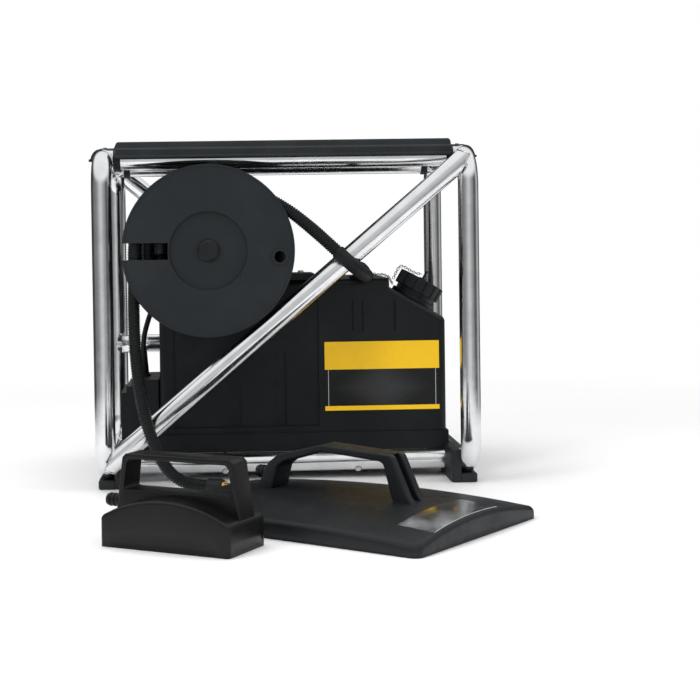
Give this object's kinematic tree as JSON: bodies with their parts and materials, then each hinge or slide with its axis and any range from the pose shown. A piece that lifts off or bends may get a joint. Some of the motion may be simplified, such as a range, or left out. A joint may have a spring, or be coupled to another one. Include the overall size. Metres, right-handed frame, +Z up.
{
  "type": "wallpaper steamer",
  "caption": "Portable wallpaper steamer: water tank and steam hose reel in a chromed tube cage, with a large and a small hand-held steam plate.",
  "frame": {"origin": "on the floor under the middle of the whole object, its cage and its two plates, without the free hose and mains lead", "axes": "+Z up, +Y from the plates in front towards the back of the cage, +X to the right seen from the front"},
  "size_m": [0.4978, 0.8572, 0.4293],
  "materials": {
    "chrome_tube": "polished chromed steel tube",
    "steel_screw": "plated screws",
    "cover_plastic": "black moulded plastic, fine grain",
    "foot_rubber": "black rubbery plastic",
    "tank_plastic": "black blow-moulded plastic, satin",
    "label_plate": "plain yellow and dark label",
    "cap_plastic": "black ribbed plastic",
    "seal_rubber": "soft black seal",
    "chain_steel": "small steel links",
    "fitting_plastic": "black plastic fitting",
    "reel_plastic": "charcoal plastic, satin",
    "axle_steel": "turned steel",
    "hose_plastic": "black corrugated hose",
    "plate_plastic": "black moulded plastic, satin",
    "small_plate_plastic": "warm black moulded plastic",
    "baffle_metal": "perforated sheet",
    "silver_label": "plain silver label",
    "brass": "turned brass",
    "element_metal": "heating rod",
    "thermostat_body": "dark resin",
    "lead_rubber": "black mains lead"
  },
  "bodies": {
    "root": {"left_hoop": "chrome_tube", "right_hoop": "chrome_tube", "top_front_rail": "chrome_tube", "bottom_front_rail": "chrome_tube", "top_rear_rail": "chrome_tube", "bottom_rear_rail": "chrome_tube", "rear_cross_rail": "chrome_tube", "front_brace": "chrome_tube", "rear_brace": "chrome_tube", "cross_rail_caps": "fitting_plastic", "outlet_elbow": "fitting_plastic", "hose_connector": "fitting_plastic", "axle_cap": "fitting_plastic", "heater_housing": "fitting_plastic", "lead_clip": "fitting_plastic", "top_cover": "cover_plastic", "front_left_foot": "foot_rubber", "front_right_foot": "foot_rubber", "rear_left_foot": "foot_rubber", "rear_right_foot": "foot_rubber", "frame_screws": "steel_screw", "tank_screws": "steel_screw", "bracket_screws": "steel_screw", "tank_shell": "tank_plastic", "tank_base": "tank_plastic", "filler_neck": "tank_plastic", "tank_label": "label_plate", "lower_chain": "chain_steel", "reel_bracket": "reel_plastic", "reel_axle": "axle_steel", "hose_outlet_run": "hose_plastic", "hose_sleeve": "hose_plastic", "hose_free_run": "hose_plastic", "brass_nozzle": "brass", "heating_element": "element_metal", "thermostat": "thermostat_body", "lead_gland": "lead_rubber", "mains_lead": "lead_rubber", "lead_coil": "lead_rubber", "lead_tail": "lead_rubber", "mains_plug": "lead_rubber"},
    "reel": {"reel_front_flange": "reel_plastic", "reel_drum": "reel_plastic", "reel_back_flange": "reel_plastic", "hose_core": "hose_plastic", "hose_winding": "hose_plastic"},
    "cap_swivel": {"cap_stud": "cap_plastic", "cap_chain": "chain_steel"},
    "cap": {"filler_cap": "cap_plastic", "cap_seal": "seal_rubber"},
    "large_plate": {"large_plate_shell": "plate_plastic", "large_plate_handle": "plate_plastic", "large_plate_label": "silver_label", "large_plate_baffle": "baffle_metal", "large_plate_inlet": "plate_plastic"},
    "small_plate": {"small_plate_shell": "small_plate_plastic", "small_plate_handle": "small_plate_plastic", "small_plate_baffle": "baffle_metal", "small_plate_inlet": "small_plate_plastic"}
  },
  "joints": [
    {"name": "reel_spin", "type": "hinge", "parent": "root", "child": "reel", "pos_m": [-0.10142, 0.03616, 0.2935], "axis": [0, 1, 0], "continuous": true},
    {"name": "cap_rise", "type": "slide", "parent": "root", "child": "cap_swivel", "axis": [0.4948, 0, 0.869], "range_m": [0, 0.0081]},
    {"name": "cap_turn", "type": "hinge", "parent": "cap_swivel", "child": "cap", "pos_m": [0.17041, 0.16616, 0.23673], "axis": [0.4948, 0, 0.869], "range_deg": [0, 720]},
    {"name": "large_plate_lift", "type": "slide", "parent": "root", "child": "large_plate", "axis": [0, 0, 1], "range_m": [0, 0.15]},
    {"name": "small_plate_lift", "type": "slide", "parent": "root", "child": "small_plate", "axis": [0, 0, 1], "range_m": [0, 0.15]}
  ],
  "couplings": [
    {"joint": "cap_rise", "follows": "cap_turn", "m_per_rad": 0.00063662}
  ]
}
